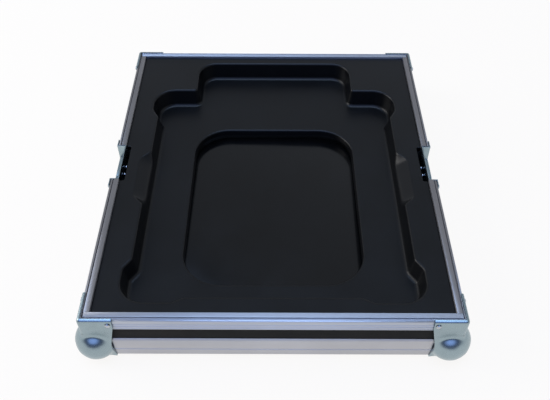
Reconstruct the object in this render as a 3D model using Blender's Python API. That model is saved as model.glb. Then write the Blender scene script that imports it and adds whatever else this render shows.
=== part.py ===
"""Base half of a flight case for a table-top DJ player.

A shallow tray of laminated plywood with an aluminium closure rim, aluminium
bottom edging, four steel ball corners, a recessed latch dish with a fixed
keeper in each side, and a vacuum-formed insert shaped round the player.

Metres, +Z up. The origin is on the ground under the middle of the tray, which
stands on its four balls. The front is at -Y and the rear cable space at +Y.
"Inset" is the distance inwards from the outer face of the aluminium.
"""
import math

import bpy
import bmesh
from mathutils import Vector

# Clearance between neighbouring pieces
GAP = 0.0003

# Player pocket in the formed insert
POCKET_WIDTH = 0.325
POCKET_LENGTH = 0.3601
POCKET_DEPTH = 0.026
WALL_DRAFT = 0.003
FLOOR_FILLET = 0.005
TOP_EDGE_ROUND = 0.0020

# Flat land of the insert round the pocket
BORDER_SIDE = 0.0357
BORDER_FRONT = 0.0226
BORDER_REAR = 0.0151

# Cable space behind the pocket
EXTENSION_WIDTH = 0.2285
EXTENSION_LENGTH = 0.0656
EXTENSION_CORNER = 0.026

# Relief lobes at the pocket's four corners
LOBE_WIDTH = 0.065
LOBE_LENGTH = 0.050
LOBE_BULGE_SIDE = 0.009
LOBE_BULGE_FRONT = 0.007
LOBE_CORNER = 0.029
EAR_LENGTH = 0.0505
EAR_BULGE = 0.0092
EAR_CORNER = 0.030
LOBE_BLEND = 0.009
EAR_BLEND = 0.008
NECK_BLEND = 0.005

# Finger scoops in the pocket's side walls
SCOOP_LENGTH = 0.100
SCOOP_FLAT = 0.074
SCOOP_WIDTH = 0.0145
SCOOP_DEPTH = 0.0105
SCOOP_SHIFT = 0.0037

# Cut-out in the pocket floor, with a lip turned down
CUTOUT_WIDTH = 0.221
CUTOUT_LENGTH = 0.2715
CUTOUT_SETBACK = 0.0317
CUTOUT_CORNER = 0.0475
LIP_DEPTH = 0.0143

# Formed sheet
SHEET = 0.0025
INSERT_DROP = 0.003
SKIRT = 0.0070

# Closure rim extrusion
SKIN = 0.0017
RIM_FLANGE = 0.0181
SHOULDER_DROP = 0.0010
SHOULDER_ROUND = 0.0016
RIDGE_INSET = 0.0024
RIDGE_WIDTH = 0.0007
RIDGE_DROP = 0.0003
GROOVE_WIDTH = 0.0013
GROOVE_DEPTH = 0.0030
WEB_SKIN = 0.0016
INNER_LEG = 0.010
INNER_SKIN = 0.0012
STRIPE_START = 0.0083
STRIPE_PITCH = 0.0036
STRIPE_WIDTH = 0.0008
STRIPE_DEPTH = 0.0005
STRIPES = 3

# Laminated plywood and the parts stacked on it
PANEL = 0.007
PACKING = 0.015
PACKING_WIDTH = 0.080
RAISED_FLOOR = 0.004
SUPPORT_CLEARANCE = 0.0115
SUPPORT_INSET = 0.012
SUPPORT_SHARE = 0.5
BATTEN_WIDTH = 0.009
BATTEN_HEIGHT = 0.020

# Bottom edging
EDGE_HEIGHT = 0.0326
EDGE_FOOT = 0.030
EDGE_BEVEL = 0.0034
EDGE_LINE_RISE = 0.0108
EDGE_LINE_WIDTH = 0.0010
EDGE_LINE_DEPTH = 0.0005

# Ball corners
BALL_RADIUS = 0.025
BALL_INSET = 0.010
BALL_RISE = 0.0199
CORNER_SHEET = 0.0017
CORNER_ROUND = 0.003
LIP_SHEET = 0.0014
LEG_REACH = 0.037
WAIST_REACH = 0.0305
WAIST_RISE = 0.0275
TOE_REACH = 0.0325
TOE_RISE = 0.003
FOOT_CHAMFER = 0.008

# Latch dish and keeper
LATCH_LENGTH = 0.064
LATCH_HEIGHT = 0.024
DISH_SHEET = 0.0013
DISH_WING = 0.011
DISH_APRON = 0.007
KEEPER_WIDTH = 0.035
KEEPER_SHEET = 0.0015
KEEPER_DROP = 0.010
KEEPER_REACH = 0.0050
KEEPER_TIP = 0.0040
KEEPER_CLEARANCE = 0.002
KEEPER_RIVET_SPACING = 0.014
NOTCH_DEPTH = 0.0065

# Rivets
SHANK_RADIUS = 0.0016
HEAD_RADIUS = 0.0032
HEAD_HEIGHT = 0.0017
RIVET_MARGIN = 0.0055
CORNER_RIVET_DROP = 0.0075
TAIL_RADIUS = 0.0024
TAIL_LENGTH = 0.0025

# Sizes that follow from those above
PANEL_INSET = SKIN + GAP
PANEL_INNER = PANEL_INSET + PANEL
RIM_WIDTH = PANEL_INNER + GAP + INNER_SKIN
INSERT_INSET = RIM_WIDTH + GAP
GROOVE_INSET = RIDGE_INSET + RIDGE_WIDTH
LAND_INSET = GROOVE_INSET + GROOVE_WIDTH
RIM_WEB = GROOVE_DEPTH + WEB_SKIN
MITRE = GAP * math.sqrt(0.5)

POCKET_HALF = POCKET_WIDTH / 2 + WALL_DRAFT
HALF_WIDTH = POCKET_HALF + BORDER_SIDE + INSERT_INSET
CASE_DEPTH = (2 * INSERT_INSET + BORDER_FRONT + POCKET_LENGTH + 2 * WALL_DRAFT
              + EXTENSION_LENGTH + BORDER_REAR)
HALF_DEPTH = CASE_DEPTH / 2

UNDERSIDE = BALL_RADIUS - BALL_RISE
BOARD_BASE = UNDERSIDE + PANEL_INSET
BOARD_TOP = BOARD_BASE + PANEL
PACKING_TOP = BOARD_TOP + GAP + PACKING
FLOOR_TOP = PACKING_TOP + GAP + RAISED_FLOOR
SUPPORT_BASE = FLOOR_TOP + GAP
POCKET_FLOOR = SUPPORT_BASE + LIP_DEPTH
SUPPORT_TOP = POCKET_FLOOR - SHEET - GAP
INSERT_TOP = POCKET_FLOOR + POCKET_DEPTH
LAND = INSERT_TOP + INSERT_DROP
SHOULDER = LAND - SHOULDER_DROP
PANEL_TOP = LAND - RIM_WEB - GAP

POCKET_FRONT = -HALF_DEPTH + INSERT_INSET + BORDER_FRONT
POCKET_REAR = POCKET_FRONT + POCKET_LENGTH + 2 * WALL_DRAFT
EXTENSION_REAR = POCKET_REAR + EXTENSION_LENGTH
LOBE_EDGE = POCKET_HALF + LOBE_BULGE_SIDE
EAR_EDGE = POCKET_HALF + EAR_BULGE
SCOOP_EDGE = POCKET_HALF + SCOOP_WIDTH
CUTOUT_FRONT = POCKET_FRONT + WALL_DRAFT + CUTOUT_SETBACK
CUTOUT_REAR = CUTOUT_FRONT + CUTOUT_LENGTH

DISH_BACK = RIM_WIDTH - DISH_SHEET
DISH_FLOOR = LAND - LATCH_HEIGHT
DISH_HALF = LATCH_LENGTH / 2 - GAP
KEEPER_FACE = DISH_BACK - GAP - KEEPER_SHEET
KEEPER_TOP = LAND - KEEPER_DROP
KEEPER_FOOT = DISH_FLOOR + KEEPER_CLEARANCE

BLACK_LAMINATE = ("black_laminate", (0.030, 0.031, 0.035), 0.45, 0.0)
ALUMINIUM = ("satin_aluminium", (0.62, 0.63, 0.67), 0.38, 1.0)
ZINC_STEEL = ("zinc_plated_steel", (0.55, 0.60, 0.62), 0.35, 1.0)
FORMED_PLASTIC = ("formed_black_plastic", (0.028, 0.029, 0.034), 0.42, 0.0)
STAINED_TIMBER = ("stained_timber", (0.030, 0.028, 0.027), 0.75, 0.0)
BLACK_SHEET = ("smooth_black_sheet", (0.020, 0.021, 0.024), 0.25, 0.0)


def material(finish):
    """Return the material of a (name, colour, roughness, metallic) finish."""
    name, colour, roughness, metallic = finish
    found = bpy.data.materials.get(name)
    if found:
        return found
    made = bpy.data.materials.new(name)
    made.use_nodes = True
    shader = made.node_tree.nodes["Principled BSDF"]
    shader.inputs["Base Color"].default_value = (*colour, 1.0)
    shader.inputs["Roughness"].default_value = roughness
    shader.inputs["Metallic"].default_value = metallic
    return made


def make_object(name, bm, finish, smooth=False):
    """Turn a bmesh into a named object with outward faces."""
    bmesh.ops.recalc_face_normals(bm, faces=bm.faces)
    mesh = bpy.data.meshes.new(name)
    bm.to_mesh(mesh)
    bm.free()
    if smooth:
        mesh.shade_smooth()
        mesh.set_sharp_from_angle(angle=math.radians(40))
    made = bpy.data.objects.new(name, mesh)
    bpy.context.scene.collection.objects.link(made)
    made.data.materials.append(material(finish))
    return made


def add_loft(bm, loops):
    """Join equal loops of points with faces, and cap both ends."""
    rings = [[bm.verts.new(point) for point in loop] for loop in loops]
    count = len(rings[0])
    for near, far in zip(rings, rings[1:]):
        for i in range(count):
            j = (i + 1) % count
            bm.faces.new((near[i], near[j], far[j], far[i]))
    bm.faces.new(list(reversed(rings[0])))
    bm.faces.new(rings[-1])


def add_box(bm, low, high):
    """Add a closed box between two corners."""
    (x0, y0, z0), (x1, y1, z1) = low, high
    base = [(x0, y0), (x1, y0), (x1, y1), (x0, y1)]
    add_loft(bm, [[(x, y, z) for x, y in base] for z in (z0, z1)])


def loft_object(name, loops, finish, smooth=False):
    bm = bmesh.new()
    add_loft(bm, loops)
    return make_object(name, bm, finish, smooth)


def box_object(name, low, high, finish):
    bm = bmesh.new()
    add_box(bm, low, high)
    return make_object(name, bm, finish)


def combine(target, tool, operation):
    """Cut, join or intersect two solids, and keep only the result."""
    modifier = target.modifiers.new("combine", "BOOLEAN")
    modifier.operation = operation
    modifier.object = tool
    modifier.solver = "EXACT"
    graph = bpy.context.evaluated_depsgraph_get()
    result = bpy.data.meshes.new_from_object(target.evaluated_get(graph))
    target.modifiers.clear()
    old = target.data
    target.data = result
    bpy.data.meshes.remove(old)
    bpy.data.objects.remove(tool, do_unlink=True)
    return target


def cut(target, tool):
    return combine(target, tool, "DIFFERENCE")


def join(target, tool):
    return combine(target, tool, "UNION")


def mirrored(source, name, flip_x=False, flip_y=False):
    """Copy a piece to the other side of the case under a new name."""
    bm = bmesh.new()
    bm.from_mesh(source.data)
    scale = (-1 if flip_x else 1, -1 if flip_y else 1, 1)
    bmesh.ops.scale(bm, vec=scale, verts=bm.verts)
    if flip_x != flip_y:
        bmesh.ops.reverse_faces(bm, faces=bm.faces)
    mesh = bpy.data.meshes.new(name)
    bm.to_mesh(mesh)
    bm.free()
    mesh.materials.append(source.data.materials[0])
    made = bpy.data.objects.new(name, mesh)
    bpy.context.scene.collection.objects.link(made)
    return made


def arc(centre, radius, start, end, steps):
    """Points on an arc, angles in degrees."""
    points = []
    for i in range(steps + 1):
        angle = math.radians(start + (end - start) * i / steps)
        points.append((centre[0] + radius * math.cos(angle),
                       centre[1] + radius * math.sin(angle)))
    return points


def rounded_outline(corners, inset):
    """Round a closed anticlockwise outline of (x, y, radius) corners.

    The outline is first moved inwards by inset (outwards if negative). A
    corner that turns left loses the inset from its radius, and one that
    turns right gains it, as a wall of even thickness does.
    """
    outline = []
    count = len(corners)
    for i, (x, y, radius) in enumerate(corners):
        here = Vector((x, y))
        before = (here - Vector(corners[i - 1][:2])).normalized()
        after = (Vector(corners[(i + 1) % count][:2]) - here).normalized()
        turn = before.x * after.y - before.y * after.x
        half = math.acos(max(-1.0, min(1.0, before.dot(after)))) / 2
        inward = Vector((-before.y, before.x)) + Vector((-after.y, after.x))
        inward.normalize()
        moved = here + inward * inset / math.cos(half)
        side = 1 if turn > 0 else -1
        bend = max(radius - side * inset, 0.0005)
        centre = moved + inward * side * bend / math.cos(half)
        first = math.atan2(-side * before.x, side * before.y)
        steps = max(2, round(math.degrees(half) / 7))
        for k in range(steps + 1):
            angle = first + side * 2 * half * k / steps
            outline.append((centre.x + bend * math.cos(angle),
                            centre.y + bend * math.sin(angle)))
    return outline


def at_height(outline, z):
    return [(x, y, z) for x, y in outline]


def closure_profile():
    """Rim extrusion section as (inset, height) points."""
    points = [(0.0, LAND - RIM_FLANGE)]
    for i in reversed(range(STRIPES)):
        top = LAND - STRIPE_START - i * STRIPE_PITCH
        points.append((0.0, top - STRIPE_WIDTH))
        points.append((STRIPE_DEPTH, top - STRIPE_WIDTH / 2))
        points.append((0.0, top))
    points += arc((SHOULDER_ROUND, SHOULDER - SHOULDER_ROUND), SHOULDER_ROUND, 180, 90, 4)
    points += [
        (RIDGE_INSET, SHOULDER),
        (RIDGE_INSET, LAND - RIDGE_DROP),
        (GROOVE_INSET, LAND - RIDGE_DROP),
        (GROOVE_INSET, LAND - GROOVE_DEPTH),
        (LAND_INSET, LAND - GROOVE_DEPTH),
        (LAND_INSET, LAND),
        (RIM_WIDTH, LAND),
        (RIM_WIDTH, LAND - INNER_LEG),
        (RIM_WIDTH - INNER_SKIN, LAND - INNER_LEG),
        (RIM_WIDTH - INNER_SKIN, LAND - RIM_WEB),
        (SKIN, LAND - RIM_WEB),
        (SKIN, LAND - RIM_FLANGE),
    ]
    return points


def edging_profile():
    """Bottom edging section as (inset, height) points."""
    top = UNDERSIDE + EDGE_HEIGHT
    line = UNDERSIDE + EDGE_LINE_RISE
    return [
        (0.0, UNDERSIDE),
        (0.0, line),
        (EDGE_LINE_DEPTH, line),
        (EDGE_LINE_DEPTH, line + EDGE_LINE_WIDTH),
        (0.0, line + EDGE_LINE_WIDTH),
        (0.0, top - EDGE_BEVEL),
        (SKIN * 0.85, top),
        (SKIN, top),
        (SKIN, UNDERSIDE + SKIN),
        (EDGE_FOOT, UNDERSIDE + SKIN),
        (EDGE_FOOT, UNDERSIDE + SKIN * 0.15),
        (EDGE_FOOT - SKIN, UNDERSIDE),
    ]


def plan_cutter(points, low, high):
    """Upright prism whose plan is given as insets from the front left corner."""
    plan = [(-HALF_WIDTH + x, -HALF_DEPTH + y) for x, y in points]
    return loft_object("cutter", [at_height(plan, z) for z in (low, high)], ALUMINIUM)


def front_rim():
    """Rim length across the front: its land runs out to the side grooves."""
    profile = closure_profile()
    loops = [[(x, -HALF_DEPTH + d, z) for d, z in profile] for x in (-HALF_WIDTH, HALF_WIDTH)]
    rim = loft_object("front_rim", loops, ALUMINIUM)
    far = 2 * RIM_WIDTH
    stop = LAND_INSET + GAP
    low = LAND - 2 * RIM_FLANGE
    high = LAND + RIM_WIDTH
    for mirror in (False, True):
        wedge = plan_cutter([(-far, -far), (-far + MITRE, -far), (stop, stop - MITRE),
                             (stop, far), (-far, far)], low, high)
        relief = plan_cutter([(-far, PANEL_INNER), (RIM_WIDTH, PANEL_INNER),
                              (RIM_WIDTH, far), (-far, far)], low, LAND - RIM_WEB)
        for tool in (wedge, relief):
            if mirror:
                flipped = mirrored(tool, "cutter", flip_x=True)
                bpy.data.objects.remove(tool, do_unlink=True)
                tool = flipped
            cut(rim, tool)
    return rim


def side_rim():
    """Rim length along the left side, from the front to the latch opening."""
    profile = closure_profile()
    loops = [[(-HALF_WIDTH + d, y, z) for d, z in profile]
             for y in (-HALF_DEPTH, -LATCH_LENGTH / 2)]
    rim = loft_object("left_rim_front", loops, ALUMINIUM)
    far = 2 * RIM_WIDTH
    butt = RIM_WIDTH + GAP
    wedge = plan_cutter([(-far, -far), (far, -far), (far, butt), (LAND_INSET, butt),
                         (LAND_INSET, LAND_INSET + MITRE), (-far, -far + MITRE)],
                        LAND - 2 * RIM_FLANGE, LAND + RIM_WIDTH)
    return cut(rim, wedge)


def build_rims():
    """Closure rim in six lengths: front, rear and two beside each latch."""
    front = front_rim()
    left = side_rim()
    return [front, left,
            mirrored(front, "rear_rim", flip_y=True),
            mirrored(left, "left_rim_rear", flip_y=True),
            mirrored(left, "right_rim_front", flip_x=True),
            mirrored(left, "right_rim_rear", flip_x=True, flip_y=True)]


def build_edging():
    """Bottom edging in four lengths with mitred corners."""
    profile = edging_profile()
    front = loft_object("front_edging", [
        [(side * (HALF_WIDTH - d - MITRE), -HALF_DEPTH + d, z) for d, z in profile]
        for side in (-1, 1)], ALUMINIUM)
    left = loft_object("left_edging", [
        [(-HALF_WIDTH + d, side * (HALF_DEPTH - d - MITRE), z) for d, z in profile]
        for side in (-1, 1)], ALUMINIUM)
    return [front, left, mirrored(front, "rear_edging", flip_y=True),
            mirrored(left, "right_edging", flip_x=True)]


def build_panels():
    """Five boards: the bottom lies in the edging and carries the four walls."""
    x = HALF_WIDTH - PANEL_INSET
    y = HALF_DEPTH - PANEL_INSET
    bottom = box_object("bottom_panel", (-x, -y, BOARD_BASE), (x, y, BOARD_TOP), BLACK_LAMINATE)
    base = BOARD_TOP + GAP
    front = box_object("front_panel", (-x, -y, base), (x, -y + PANEL, PANEL_TOP), BLACK_LAMINATE)
    end = HALF_DEPTH - PANEL_INNER - GAP
    notch = LATCH_LENGTH / 2
    sill = DISH_FLOOR - DISH_SHEET - GAP
    outline = [(-end, base), (end, base), (end, PANEL_TOP), (notch, PANEL_TOP),
               (notch, sill), (-notch, sill), (-notch, PANEL_TOP), (-end, PANEL_TOP)]
    left = loft_object("left_panel", [[(-x + across, along, z) for along, z in outline]
                                      for across in (0.0, PANEL)], BLACK_LAMINATE)
    walls = [front, left, mirrored(front, "rear_panel", flip_y=True),
             mirrored(left, "right_panel", flip_x=True)]
    return bottom, walls


def build_supports():
    """Packing on the board, the raised floor, and bearers under the pocket floor."""
    x = HALF_WIDTH - PANEL_INNER - GAP
    y = HALF_DEPTH - PANEL_INNER - GAP
    base = BOARD_TOP + GAP
    packing = box_object("packing_frame", (-x, -y, base), (x, y, PACKING_TOP), STAINED_TIMBER)
    hole_x = x - PACKING_WIDTH
    hole_y = y - PACKING_WIDTH
    cut(packing, box_object("hole", (-hole_x, -hole_y, base - PACKING),
                            (hole_x, hole_y, PACKING_TOP + PACKING), STAINED_TIMBER))
    box_object("raised_floor", (-x, -y, PACKING_TOP + GAP), (x, y, FLOOR_TOP), BLACK_SHEET)
    outer = POCKET_WIDTH / 2 - SUPPORT_INSET
    lip_side = CUTOUT_WIDTH / 2 + SHEET + SUPPORT_CLEARANCE
    front = POCKET_FRONT + WALL_DRAFT + SUPPORT_INSET
    rear = POCKET_REAR - WALL_DRAFT - SUPPORT_INSET
    left = box_object("left_support", (-outer, front, SUPPORT_BASE),
                      (-lip_side, rear, SUPPORT_TOP), BLACK_LAMINATE)
    mirrored(left, "right_support", flip_x=True)
    inner = lip_side - SUPPORT_INSET
    for name, near, far in (("front_support", POCKET_FRONT + WALL_DRAFT, CUTOUT_FRONT - SHEET),
                            ("rear_support", CUTOUT_REAR + SHEET, POCKET_REAR - WALL_DRAFT)):
        clear = (far - near) * (1 - SUPPORT_SHARE) / 2
        box_object(name, (-inner, near + clear, SUPPORT_BASE),
                   (inner, far - clear, SUPPORT_TOP), BLACK_LAMINATE)


def build_battens():
    """Strips on the walls under the turned-down edge of the insert."""
    top = INSERT_TOP - SKIRT - GAP
    base = top - BATTEN_HEIGHT
    near = PANEL_INNER + GAP
    far = near + BATTEN_WIDTH
    x = HALF_WIDTH - near
    front = box_object("front_batten", (-x, -HALF_DEPTH + near, base),
                       (x, -HALF_DEPTH + far, top), STAINED_TIMBER)
    mirrored(front, "rear_batten", flip_y=True)
    left = box_object("left_front_batten", (-x, -HALF_DEPTH + far + GAP, base),
                      (-x + BATTEN_WIDTH, -LATCH_LENGTH / 2 - GAP, top), STAINED_TIMBER)
    mirrored(left, "left_rear_batten", flip_y=True)
    mirrored(left, "right_front_batten", flip_x=True)
    mirrored(left, "right_rear_batten", flip_x=True, flip_y=True)


def pocket_corners():
    """Pocket outline at the top of the insert, anticlockwise from the front."""
    lobe_start = LOBE_EDGE - LOBE_WIDTH
    lobe_front = POCKET_FRONT - LOBE_BULGE_FRONT
    lobe_end = lobe_front + LOBE_LENGTH
    ear_start = POCKET_REAR - EAR_LENGTH
    neck = EXTENSION_WIDTH / 2
    right = [
        (lobe_start - LOBE_BLEND, POCKET_FRONT, LOBE_BLEND),
        (lobe_start + LOBE_BLEND / 2, lobe_front, LOBE_BLEND),
        (LOBE_EDGE, lobe_front, LOBE_CORNER),
        (LOBE_EDGE, lobe_end - LOBE_BLEND / 2, LOBE_BLEND),
        (POCKET_HALF, lobe_end + LOBE_BLEND, LOBE_BLEND),
        (POCKET_HALF, ear_start - EAR_BLEND, EAR_BLEND),
        (EAR_EDGE, ear_start + EAR_BLEND, 2 * EAR_BLEND),
        (EAR_EDGE, POCKET_REAR, EAR_CORNER),
        (neck, POCKET_REAR, NECK_BLEND),
        (neck, EXTENSION_REAR, EXTENSION_CORNER),
    ]
    return right + [(-x, y, r) for x, y, r in reversed(right)]


def pocket_tool(thickness):
    """Drafted pocket shape, grown by the sheet's thickness for its outside."""
    corners = pocket_corners()
    floor = POCKET_FLOOR - thickness
    above = INSERT_TOP + (-SHEET / 2 if thickness else 0.01)
    levels = []
    for angle in (0, 30, 60, 90):
        turn = math.radians(angle)
        levels.append((floor + FLOOR_FILLET * (1 - math.sin(turn)),
                       WALL_DRAFT + FLOOR_FILLET * (1 - math.cos(turn))))
    levels.reverse()
    if thickness == 0:
        levels.append((INSERT_TOP - TOP_EDGE_ROUND, 0.0))
        levels.append((INSERT_TOP - TOP_EDGE_ROUND * 0.4, -TOP_EDGE_ROUND * 0.4))
        levels.append((INSERT_TOP, -TOP_EDGE_ROUND))
    levels.append((above, 0.0 if thickness else -TOP_EDGE_ROUND))
    loops = [at_height(rounded_outline(corners, inset - thickness), z) for z, inset in levels]
    return loft_object("pocket_tool", loops, FORMED_PLASTIC)


def scoop_tool(side, thickness):
    """Shallow ramp from the land down into the pocket wall."""
    centre = (POCKET_FRONT + POCKET_REAR) / 2 + SCOOP_SHIFT
    slope = SCOOP_DEPTH / SCOOP_WIDTH
    inner = POCKET_HALF - WALL_DRAFT
    depth = slope * (SCOOP_EDGE - inner)
    rise = -SHEET / 2 if thickness else TOP_EDGE_ROUND
    outer = SCOOP_EDGE + (thickness if thickness else rise / slope)
    bm = bmesh.new()
    for x, half, z in ((inner, SCOOP_LENGTH / 2, rise), (outer, SCOOP_FLAT / 2, rise),
                       (inner, SCOOP_FLAT / 2, -depth - thickness)):
        for end in (-1, 1):
            bm.verts.new((side * x, centre + end * (half + thickness), INSERT_TOP + z))
    bmesh.ops.convex_hull(bm, input=bm.verts)
    return make_object("scoop_tool", bm, FORMED_PLASTIC)


def cutout_tool(grow, low, high):
    """Upright prism of the cut-out in the pocket floor."""
    x = CUTOUT_WIDTH / 2
    corners = [(x, CUTOUT_FRONT, CUTOUT_CORNER), (x, CUTOUT_REAR, CUTOUT_CORNER),
               (-x, CUTOUT_REAR, CUTOUT_CORNER), (-x, CUTOUT_FRONT, CUTOUT_CORNER)]
    outline = rounded_outline(corners, -grow)
    return loft_object("cutout_tool", [at_height(outline, z) for z in (low, high)],
                       FORMED_PLASTIC)


def insert_outline(inset):
    """Edge of the insert in plan, notched behind each latch dish."""
    x = HALF_WIDTH - INSERT_INSET - inset
    y = HALF_DEPTH - INSERT_INSET - inset
    notch_x = HALF_WIDTH - RIM_WIDTH - NOTCH_DEPTH - inset
    notch_y = LATCH_LENGTH / 2 + inset
    right = [(x, -y), (x, -notch_y), (notch_x, -notch_y), (notch_x, notch_y),
             (x, notch_y), (x, y)]
    return right + [(-px, py) for px, py in reversed(right)]


def build_insert():
    """Vacuum-formed tray: land, turned-down edge, pocket, scoops and cut-out."""
    insert = loft_object("formed_insert", [at_height(insert_outline(0.0), z)
                                           for z in (INSERT_TOP - SKIRT, INSERT_TOP)],
                         FORMED_PLASTIC)
    cut(insert, loft_object("hollow", [at_height(insert_outline(SHEET), z) for z in
                                       (INSERT_TOP - 2 * SKIRT, INSERT_TOP - SHEET)],
                            FORMED_PLASTIC))
    join(insert, pocket_tool(SHEET))
    for side in (-1, 1):
        join(insert, scoop_tool(side, SHEET))
    join(insert, cutout_tool(SHEET, POCKET_FLOOR - LIP_DEPTH, POCKET_FLOOR - SHEET / 2))
    cut(insert, pocket_tool(0.0))
    for side in (-1, 1):
        cut(insert, scoop_tool(side, 0.0))
    cut(insert, cutout_tool(0.0, POCKET_FLOOR - 2 * LIP_DEPTH, POCKET_FLOOR + LIP_DEPTH))
    return insert


def corner_envelope():
    """Outside of the ball corner's three legs as one rounded block."""
    wall = GAP + CORNER_SHEET
    low = UNDERSIDE - wall
    high = SHOULDER + GAP + LIP_SHEET
    near_x = -HALF_WIDTH - wall
    near_y = -HALF_DEPTH - wall
    far_x = near_x + 2 * LEG_REACH
    far_y = near_y + 2 * LEG_REACH
    corners = [(near_x, near_y, CORNER_ROUND), (far_x, near_y, CORNER_ROUND),
               (far_x, far_y, CORNER_ROUND), (near_x, far_y, CORNER_ROUND)]
    levels = [(low + CORNER_ROUND * (1 - z), CORNER_ROUND * (1 - d))
              for d, z in arc((0, 0), 1.0, 90, 0, 3)]
    levels += [(high - CORNER_ROUND * (1 - z), CORNER_ROUND * (1 - d))
               for d, z in arc((0, 0), 1.0, 0, 90, 3)]
    loops = [at_height(rounded_outline(corners, inset), z) for z, inset in levels]
    return loft_object("ball_corner_front_left", loops, ZINC_STEEL, smooth=True)


def sphere_tool(radius):
    bm = bmesh.new()
    bmesh.ops.create_uvsphere(bm, u_segments=24, v_segments=13, radius=radius)
    centre = Vector((-HALF_WIDTH + BALL_INSET, -HALF_DEPTH + BALL_INSET, UNDERSIDE + BALL_RISE))
    bmesh.ops.translate(bm, vec=centre, verts=bm.verts)
    return make_object("sphere_tool", bm, ZINC_STEEL, smooth=True)


def leg_trim():
    """Cutter that shapes both upright legs: waist beside the ball, flared toe."""
    far = 3 * LEG_REACH
    outline = [(far, SHOULDER + LEG_REACH), (LEG_REACH, SHOULDER + LEG_REACH),
               (LEG_REACH, LAND - CORNER_RIVET_DROP - RIVET_MARGIN),
               (WAIST_REACH, UNDERSIDE + WAIST_RISE), (TOE_REACH, UNDERSIDE + TOE_RISE),
               (TOE_REACH, UNDERSIDE - LEG_REACH), (far, UNDERSIDE - LEG_REACH)]
    bm = bmesh.new()
    for along_x in (True, False):
        loops = []
        for across in (-LEG_REACH, RIM_WIDTH):
            loop = []
            for along, z in outline:
                plan = (along, across) if along_x else (across, along)
                loop.append((-HALF_WIDTH + plan[0], -HALF_DEPTH + plan[1], z))
            loops.append(loop)
        add_loft(bm, loops)
    return make_object("leg_trim", bm, ZINC_STEEL)


def build_ball_corner():
    """Pressed corner: three legs, a lip over the rim's shoulder, and a ball."""
    corner = corner_envelope()
    far = 3 * LEG_REACH
    lip = RIDGE_INSET - GAP
    toe = TOE_REACH
    cut(corner, plan_cutter([(lip, lip), (far, lip), (far, far), (lip, far)],
                            UNDERSIDE - GAP, LAND + far))
    cut(corner, plan_cutter([(toe, -far), (far, -far), (far, far), (-far, far), (-far, toe),
                             (toe - FOOT_CHAMFER, toe), (toe, toe - FOOT_CHAMFER)],
                            -far, UNDERSIDE - GAP))
    cut(corner, leg_trim())
    join(corner, sphere_tool(BALL_RADIUS))
    cut(corner, plan_cutter([(-GAP, -GAP), (far, -GAP), (far, far), (-GAP, far)],
                            UNDERSIDE - GAP, SHOULDER + GAP))
    cut(corner, sphere_tool(BALL_RADIUS - CORNER_SHEET))
    return corner


def dish_box(bm, inner, outer, half, low, high):
    """Box in the left wall between two insets, centred on the latch."""
    add_box(bm, (-HALF_WIDTH + outer, -half, low), (-HALF_WIDTH + inner, half, high))


def dish_solid(inner, outer, half, low, high):
    bm = bmesh.new()
    dish_box(bm, inner, outer, half, low, high)
    return make_object("dish_solid", bm, ZINC_STEEL)


def build_dish():
    """Half of a recessed latch dish, let into the left wall and open above."""
    face = -GAP - DISH_SHEET
    dish = dish_solid(RIM_WIDTH, face, DISH_HALF, DISH_FLOOR - DISH_SHEET, SHOULDER)
    dish.name = "left_latch_dish"
    join(dish, dish_solid(-GAP, face, LATCH_LENGTH / 2 + DISH_WING,
                          DISH_FLOOR - DISH_SHEET - DISH_APRON, SHOULDER))
    cut(dish, dish_solid(DISH_BACK, -RIM_WIDTH, DISH_HALF - DISH_SHEET, DISH_FLOOR,
                         LAND + RIM_WIDTH))
    join(dish, dish_solid(RIM_WIDTH, DISH_BACK, DISH_HALF, SHOULDER - DISH_SHEET, LAND))
    return dish


def build_keeper():
    """Fixed catch plate: flat on the dish, bent outwards, with a turned-down tip."""
    tip = KEEPER_FACE - KEEPER_REACH + KEEPER_SHEET
    back = DISH_BACK - GAP
    section = [(back, KEEPER_FOOT), (back, KEEPER_TOP), (tip, KEEPER_TOP),
               (tip - KEEPER_SHEET * 0.7, KEEPER_TOP - KEEPER_SHEET * 0.3),
               (tip - KEEPER_SHEET, KEEPER_TOP - KEEPER_SHEET),
               (tip - KEEPER_SHEET, KEEPER_TOP - KEEPER_TIP),
               (tip, KEEPER_TOP - KEEPER_TIP), (tip, KEEPER_TOP - KEEPER_SHEET),
               (KEEPER_FACE, KEEPER_TOP - KEEPER_SHEET), (KEEPER_FACE, KEEPER_FOOT)]
    return loft_object("left_keeper", [
        [(-HALF_WIDTH + d, y, z) for d, z in section]
        for y in (-KEEPER_WIDTH / 2, KEEPER_WIDTH / 2)], ZINC_STEEL)


def add_turned(bm, place, outwards, profile, sides=10):
    """Turn a (radius, height) profile about an axis and close its ends."""
    outwards = Vector(outwards)
    across = Vector((0, 0, 1)) if abs(outwards.z) < 0.5 else Vector((1, 0, 0))
    other = outwards.cross(across)
    loops = []
    for radius, height in profile:
        loop = []
        for i in range(sides):
            turn = 2 * math.pi * i / sides
            spoke = across * math.cos(turn) + other * math.sin(turn)
            loop.append(Vector(place) + outwards * height + spoke * radius)
        loops.append(loop)
    add_loft(bm, loops)


def rivet_profile(length):
    """Domed head on a shank; height 0 is the face that the head sits on."""
    return [(SHANK_RADIUS, -length), (SHANK_RADIUS, GAP), (HEAD_RADIUS, GAP),
            (HEAD_RADIUS * 0.92, GAP + HEAD_HEIGHT * 0.45),
            (HEAD_RADIUS * 0.60, GAP + HEAD_HEIGHT * 0.85),
            (HEAD_RADIUS * 0.20, GAP + HEAD_HEIGHT)]


def tail_profile(length):
    """Shank that ends in the bulb a pull rivet forms on the far side."""
    end = -length
    return [(TAIL_RADIUS * 0.5, end - TAIL_LENGTH), (TAIL_RADIUS, end - TAIL_LENGTH * 0.7),
            (TAIL_RADIUS, end - GAP), (SHANK_RADIUS, end - GAP)] + rivet_profile(length)[1:]


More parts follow.
